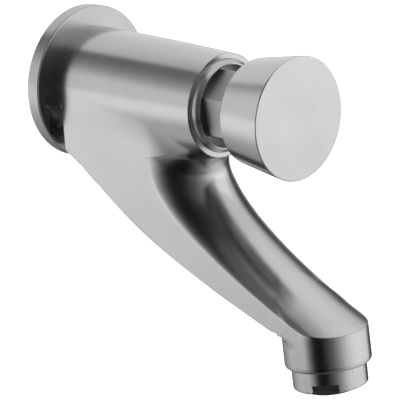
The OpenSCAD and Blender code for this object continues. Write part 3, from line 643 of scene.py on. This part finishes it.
collar = {"radius": 13.4, "height": 8.1, "edge": 0.7, "gap": 0.15, "threadR": 12.0, "threadEnd": 7.5,
          "shellR": 10.4, "lip": 1.0, "notchW": 10.2, "notchH": 3.3, "notchIn": 7.4, "notchOut": 16.0,
          "notchAngle": 213.0, "notchPast": 0.5}
a = collar
aeratorShell = turned("aeratorShell", softened([
    (a["shellR"] - a["lip"], -a["height"], 0.2), (a["radius"], -a["height"], a["edge"]),
    (a["radius"], -a["gap"], 0.15), (a["threadR"], -a["gap"], 0.1), (a["threadR"], a["threadEnd"], 0.3),
    (a["shellR"], a["threadEnd"], 0.2), (a["shellR"], a["lip"] - a["height"], 0.1),
    (a["shellR"] - a["lip"], a["lip"] - a["height"], 0.1)]), turnedChrome, steps=192, place=onOutlet)
notchWork = bmesh.new()
for turn in (0.0, 180.0):
    middle = ((a["notchIn"] + a["notchOut"]) / 2 * mm, 0,
              (a["notchH"] / 2 - a["height"] - a["notchPast"]) * mm)
    swung = Matrix.Rotation(radians(a["notchAngle"] + turn), 4, "Z")
    spot = outletFrame @ swung @ Matrix.Translation(middle)
    size = Matrix.Diagonal(((a["notchOut"] - a["notchIn"]) * mm, a["notchW"] * mm,
                            (a["notchH"] + 2 * a["notchPast"]) * mm, 1))
    bmesh.ops.create_cube(notchWork, size=1.0, matrix=spot @ size)
notchMesh = bpy.data.meshes.new("notches")
notchWork.to_mesh(notchMesh)
notchWork.free()
notches = bpy.data.objects.new("notches", notchMesh)
scene.collection.objects.link(notches)
cutAway(aeratorShell, notches)
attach(aeratorShell, "tap")
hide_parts("aerator_shell")


# jet insert: a puck with rings of holes

jets = {"radius": 10.3, "plateR": 9.3, "plateLow": -9.6, "low": -7.1, "high": 6.6, "hole": 0.8,
        "ringStep": 2.7, "perRing": 6, "rings": 3, "drillSides": 20, "drillLength": 40.0}


def buildJetTree():
    tree = bpy.data.node_groups.new("jetInsert", "GeometryNodeTree")
    for label, kind in (("Puck", "Geometry"), ("Hole", "Float"), ("Length", "Float"), ("Ring Step", "Float"),
                        ("Per Ring", "Int"), ("Finish", "Material")):
        tree.interface.new_socket(label, in_out="INPUT", socket_type="NodeSocket" + kind)
    tree.interface.new_socket("Piece", in_out="OUTPUT", socket_type="NodeSocketGeometry")
    link = tree.links.new
    given = tree.nodes.new("NodeGroupInput").outputs
    done = tree.nodes.new("NodeGroupOutput").inputs
    spots = tree.nodes.new("GeometryNodeJoinGeometry")
    middle = tree.nodes.new("GeometryNodeMeshLine")
    middle.inputs["Count"].default_value = 1
    link(middle.outputs["Mesh"], spots.inputs[0])
    for k in range(1, jets["rings"] + 1):
        circle = tree.nodes.new("GeometryNodeMeshCircle")
        link(reckon(tree, "MULTIPLY", given["Per Ring"], k), circle.inputs["Vertices"])
        link(reckon(tree, "MULTIPLY", given["Ring Step"], k), circle.inputs["Radius"])
        link(circle.outputs["Mesh"], spots.inputs[0])
    drill = tree.nodes.new("GeometryNodeMeshCylinder")
    drill.inputs["Vertices"].default_value = jets["drillSides"]
    link(given["Hole"], drill.inputs["Radius"])
    link(given["Length"], drill.inputs["Depth"])
    placed = tree.nodes.new("GeometryNodeInstanceOnPoints")
    link(spots.outputs[0], placed.inputs["Points"])
    link(drill.outputs["Mesh"], placed.inputs["Instance"])
    loose = tree.nodes.new("GeometryNodeRealizeInstances")
    link(placed.outputs[0], loose.inputs["Geometry"])
    holed = tree.nodes.new("GeometryNodeMeshBoolean")
    holed.operation = "DIFFERENCE"
    link(given["Puck"], holed.inputs["Mesh 1"])
    link(loose.outputs[0], holed.inputs["Mesh 2"])
    real = tree.nodes.new("GeometryNodeRealizeInstances")
    link(holed.outputs["Mesh"], real.inputs["Geometry"])
    dressed = tree.nodes.new("GeometryNodeSetMaterial")
    link(real.outputs[0], dressed.inputs["Geometry"])
    link(given["Finish"], dressed.inputs["Material"])
    link(dressed.outputs[0], done["Piece"])
    return tree


j = jets
jetInsert = turned("jetInsert", softened([
    (0, j["plateLow"], 0), (j["plateR"], j["plateLow"], 0.35), (j["plateR"], j["low"], 0.1),
    (j["radius"], j["low"], 0.15), (j["radius"], j["high"], 0.2), (0, j["high"], 0)], closed=False),
    darkPlastic, steps=96, place=Matrix.Rotation(-pi / 2, 4, "X"))
drilling = jetInsert.modifiers.new("jets", "NODES")
drilling.node_group = buildJetTree()
for label, value in (("Hole", j["hole"] * mm), ("Length", j["drillLength"] * mm),
                     ("Ring Step", j["ringStep"] * mm), ("Per Ring", j["perRing"]), ("Finish", darkPlastic)):
    setInput(drilling, label, value)
settle(jetInsert, outletFrame)
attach(jetInsert, "tap")
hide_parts("aerator_insert")
print("aerator made")


# inlet nipple: a turned core and its pipe thread

nipple = {"major": 10.4775, "root": 9.4, "pitch": 1.814, "threadFrom": -15.2, "threadTo": -1.2,
          "shoulderR": 12.3, "shoulderTo": 0.4, "innerR": 9.0, "end": 9.5, "bore": 6.5, "crest": 0.14,
          "crestDrop": 0.03, "foot": 0.82, "sunk": 0.3, "runIn": 0.1, "fade": 0.6}
n = nipple
nippleCore = turned("nippleCore", softened([
    (n["bore"], n["threadFrom"], 0.4), (n["root"], n["threadFrom"], 0.4), (n["root"], n["threadTo"], 0.2),
    (n["shoulderR"], n["threadTo"], 0.3), (n["shoulderR"], n["shoulderTo"], 0.3),
    (n["innerR"], n["shoulderTo"], 0.2), (n["innerR"], n["end"], 0.3), (n["bore"], n["end"], 0.3)]),
    inletBrass, steps=128)
threadTurns = (n["threadTo"] - n["threadFrom"] - 2 * n["foot"] - 2 * n["runIn"]) / n["pitch"]
begin, sunk, shoulder = n["threadFrom"] + n["runIn"], n["root"] - n["sunk"], n["major"] - n["crestDrop"]
nippleThread = turned("nippleThread", [
    (sunk, begin), (n["root"], begin), (shoulder, begin + n["foot"] - n["crest"]),
    (n["major"], begin + n["foot"]), (shoulder, begin + n["foot"] + n["crest"]),
    (n["root"], begin + 2 * n["foot"]), (sunk, begin + 2 * n["foot"]), (sunk, begin)], inletBrass, steps=620,
    turns=threadTurns, lead=n["pitch"], fade=n["fade"], root=sunk)
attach(nippleCore, "tap")
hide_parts("inlet_nipple")
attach(nippleThread, "tap")


# return spring, a coil of round wire, as it stands with the button out

spring = {"radius": 6.2, "wire": 0.5, "floor": 19.1, "top": 34.9, "turns": 5.0, "stroke": 8.0, "sides": 14}
g = spring
wireTurns = [2 * pi * k / g["sides"] for k in range(g["sides"] + 1)]
wireRing = [(g["radius"] + g["wire"] * cos(w), g["floor"] + g["wire"] * (1 + sin(w))) for w in wireTurns]
returnSpring = turned("returnSpring", wireRing, springSteel, steps=300, turns=g["turns"],
                      lead=(g["top"] - g["floor"] - 2 * g["wire"]) / g["turns"])
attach(returnSpring, "tap")
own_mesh(returnSpring)
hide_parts("return_spring")
print("inlet and spring made")


# the solids that stay get the finish of their slot

slotFinish = {"satin_chrome": turnedChrome, "brass": inletBrass, "steel": springSteel, "acetal": whiteAcetal,
              "dark_plastic": darkPlastic, "rubber": sealRubber, "fibre": washerFibre}
for entry in frame["record"]["subparts"]:
    for spot in frame["nodes"][entry["node"]].material_slots:
        spot.material = slotFinish[entry["material_slot"]]


# camera at the photograph's angle

lens = {"azimuth": -44.7, "elevation": 16.29, "roll": -4.28, "distance": 1.2607,
        "target": (0, -0.056, -0.028), "focal": 3505.4, "centre": (197.5, 174.2), "frame": 400}
az, el, roll = (radians(lens[k]) for k in ("azimuth", "elevation", "roll"))
back = Vector((sin(az) * cos(el), -cos(az) * cos(el), sin(el)))
level = Vector((cos(az), sin(az), 0))
upright = back.cross(level)
right = level * cos(roll) + upright * sin(roll)
up = upright * cos(roll) - level * sin(roll)
ahead = (-back + right * ((lens["frame"] / 2 - lens["centre"][0]) / lens["focal"])
         - up * ((lens["frame"] / 2 - lens["centre"][1]) / lens["focal"])).normalized()
side = ahead.cross(up).normalized()
above = side.cross(ahead)
camera = bpy.data.objects.new("camera", bpy.data.cameras.new("camera"))
camera.matrix_world = (Matrix.Translation(Vector(lens["target"]) + back * lens["distance"])
                       @ Matrix((side, above, -ahead)).transposed().to_4x4())
camera.data.sensor_width = 36.0
camera.data.lens = 36.0 * lens["focal"] / lens["frame"]
scene.collection.objects.link(camera)
scene.camera = camera


# studio: a pale floor, soft light, and dark cards that only the metal sees

studio = {"floorZ": -0.34, "floorSize": 14.0, "world": 0.8, "lift": 0.57, "centre": (0.0, -0.06, -0.03),
          "cardAt": 0.75, "overhead": 0.62}


def onStage(name, points, faces, finish):
    mesh = bpy.data.meshes.new(name)
    mesh.from_pydata(points, [], faces)
    mesh.materials.append(finish)
    thing = bpy.data.objects.new(name, mesh)
    scene.collection.objects.link(thing)
    return thing


def whereSeen(tree):
    # 1 where the camera sees it, in the metal too, and 0 where it only gives light
    seen = tree.nodes.new("ShaderNodeLightPath").outputs
    mirrored = reckon(tree, "MAXIMUM", seen["Is Glossy Ray"], seen["Is Transmission Ray"])
    return reckon(tree, "MAXIMUM", seen["Is Camera Ray"], mirrored)


# the floor's paper: pale, with its own shadow, and lifted a little to white where it is seen
floorFinish, tree, shader, where = newFinish("floorPaper")
tree.links.new(tinted(tree, noise(tree, where, 3.0), (0.89, 0.89, 0.885), (0.91, 0.91, 0.905)),
               shader.inputs["Base Color"])
shader.inputs["Roughness"].default_value = 0.9
shader.inputs["Emission Color"].default_value = (1, 1, 1, 1)
tree.links.new(reckon(tree, "MULTIPLY", whereSeen(tree), studio["lift"]), shader.inputs["Emission Strength"])
reach, ground = studio["floorSize"], studio["floorZ"]
corners = [(-reach, -reach, ground), (reach, -reach, ground), (reach, reach, ground), (-reach, reach, ground)]
onStage("floor", corners, [(0, 1, 2, 3)], floorFinish)

world = bpy.data.worlds.new("studioWorld")
scene.world = world
world.use_nodes = True
world.node_tree.nodes["Background"].inputs["Color"].default_value = (1.0, 1.0, 0.995, 1)
sky = world.node_tree
shown = reckon(sky, "MULTIPLY", whereSeen(sky), 1 - studio["world"])
sky.links.new(reckon(sky, "ADD", shown, studio["world"]), sky.nodes["Background"].inputs["Strength"])


def softbox(name, azimuth, elevation, distance, width, height, power):
    lamp = bpy.data.lights.new(name, "AREA")
    lamp.shape = "RECTANGLE"
    lamp.size, lamp.size_y, lamp.energy = width, height, power
    box = bpy.data.objects.new(name, lamp)
    toward = outward(azimuth, elevation)
    box.location = Vector(studio["centre"]) + toward * distance
    box.rotation_mode = "QUATERNION"
    box.rotation_quaternion = (-toward).to_track_quat("-Z", "Y")
    scene.collection.objects.link(box)


def outward(azimuth, elevation):
    a, e = radians(azimuth), radians(elevation)
    return Vector((sin(a) * cos(e), -cos(a) * cos(e), sin(e)))


softbox("keyLight", azimuth=45, elevation=8, distance=1.3, width=1.1, height=0.9, power=1.375)
softbox("topLight", azimuth=110, elevation=58, distance=1.4, width=1.2, height=0.9, power=0.5)

# a card covers more or less of what is behind it, point by point
cardFinish, tree, shader, where = newFinish("cardPaper")
tree.links.new(tinted(tree, noise(tree, where, 9.0), (0.004, 0.004, 0.004), (0.006, 0.006, 0.006)),
               shader.inputs["Base Color"])
shader.inputs["Roughness"].default_value = 0.9
shader.inputs["Specular IOR Level"].default_value = 0.0
covering = tree.nodes.new("ShaderNodeAttribute")
covering.attribute_name = "cover"
tree.links.new(covering.outputs["Fac"], shader.inputs["Alpha"])


def between(x, stops):
    for (x0, y0), (x1, y1) in zip(stops, stops[1:]):
        if x <= x1:
            return lerp(y0, y1, clamp((x - x0) / (x1 - x0)))
    return stops[-1][1]


def darkCard(name, columns, rows, spot, cover):
    points, faces, shade = [], [], []
    for u in columns:
        for v in rows:
            points.append(tuple(spot(u, v)))
            shade.append(cover(u, v))
    deep = len(rows)
    for i in range(len(columns) - 1):
        for k in range(deep - 1):
            faces.append((i * deep + k, i * deep + k + 1, (i + 1) * deep + k + 1, (i + 1) * deep + k))
    card = onStage(name, points, faces, cardFinish)
    layer = card.data.attributes.new("cover", "FLOAT", "POINT")
    for spotData, value in zip(layer.data, shade):
        spotData.value = value
    card.visible_camera = card.visible_diffuse = card.visible_shadow = False


def standing(azimuth, elevation):
    return Vector(studio["centre"]) + outward(azimuth, elevation) * studio["cardAt"]


def hanging(x, y):
    return Vector(studio["centre"]) + Vector((x, y, studio["overhead"]))


def steps(low, high, size):
    count = round((high - low) / size)
    return [lerp(low, high, k / count) for k in range(count + 1)]


frontCover = [(-110, 0.0), (-97, 0.45), (-88, 0.9), (-80, 1.0), (-50, 0.98), (-30, 0.84), (-14, 0.6),
              (0, 0.28), (14, 0.08), (30, 0.0)]
frontTop = [(-120, 56), (-35, 66), (-18, 62), (2, 48), (36, 30)]


def frontShade(a, e):
    # the left edge lies further round above than below
    at = lerp(a - 6, a - 11, ease(-20, 5, e)) if a < -50 else a
    top = between(a, frontTop)
    return between(at, frontCover) * (1 - ease(top - 8, top + 4, e))


darkCard("frontCard", steps(-120, 36, 3), steps(-66, 74, 4), standing, frontShade)
rightCover = [(12, 0.0), (30, 0.06), (80, 0.06), (94, 0.95), (112, 0.95), (124, 0.0)]
darkCard("rightCard", steps(12, 124, 4), steps(-40, 40, 4), standing,
         lambda a, e: between(a, rightCover) * (1 - ease(10, 30, e)))
# straight behind the tap, so that its edges stand out from the white
rim = {"azimuth": 135.3, "elevation": -16.3, "squeeze": 0.96, "dark": 0.95, "inner": 8, "outer": 24}


def rimShade(a, e):
    off = sqrt((rim["squeeze"] * (a - rim["azimuth"])) ** 2 + (e - rim["elevation"]) ** 2)
    return rim["dark"] * (1 - ease(rim["inner"], rim["outer"], off))


darkCard("rimCard", steps(105, 165, 3), steps(-24, 12, 3), standing, rimShade)
topCover = [(-1.35, 0.0), (-1.0, 0.3), (-0.6, 0.55), (-0.3, 0.77), (-0.098, 0.85)]
darkCard("topCard", steps(-1.35, -0.098, 0.05), steps(-0.7, 1.25, 0.1), hanging,
         lambda x, y: between(x, topCover) * (1 - ease(0.75, 1.25, y)))
veilCover = [(-0.098, 0.5), (0.05, 0.35), (0.2, 0.1), (0.45, 0.0)]
darkCard("veilCard", steps(-0.098, 0.45, 0.05), steps(-0.5, 0.7, 0.1), hanging,
         lambda x, y: between(x, veilCover) * ease(-0.5, -0.1, y) * (1 - ease(0.3, 0.7, y)))
lowCover = [(-180, 0.7), (-150, 0.45), (-115, 0.6), (-92, 0.75), (-75, 1.0), (-50, 1.0), (-30, 0.9),
            (-10, 0.7), (5, 0.5), (20, 0.3), (45, 0.25), (72, 0.4), (90, 0.85), (120, 0.85), (150, 0.85),
            (180, 0.7)]
lowReach = [(-180, 0.42), (-110, 0.4), (-92, 0.72), (-20, 0.72), (20, 0.5), (75, 0.45), (90, 0.7), (115, 0.7),
            (150, 0.6), (180, 0.5)]
lowRing = {"middle": 0.9, "from": 0.08, "to": 0.3, "thin": 0.8, "fade": 0.95, "end": 1.2, "above": 0.02}


def lowSpot(a, r):
    turn = radians(a)
    return Vector((r * sin(turn), studio["centre"][1] - r * cos(turn), ground + lowRing["above"]))


def lowShade(a, r):
    dark = lerp(lowRing["middle"], between(a, lowCover), ease(lowRing["from"], lowRing["to"], r))
    thinned = 1 - lowRing["thin"] * ease(between(a, lowReach), lowRing["fade"], r)
    return dark * thinned * (1 - ease(lowRing["fade"], lowRing["end"], r))


darkCard("lowCard", steps(-180, 180, 6), steps(0.0, 1.2, 0.06), lowSpot, lowShade)
print("stage set")
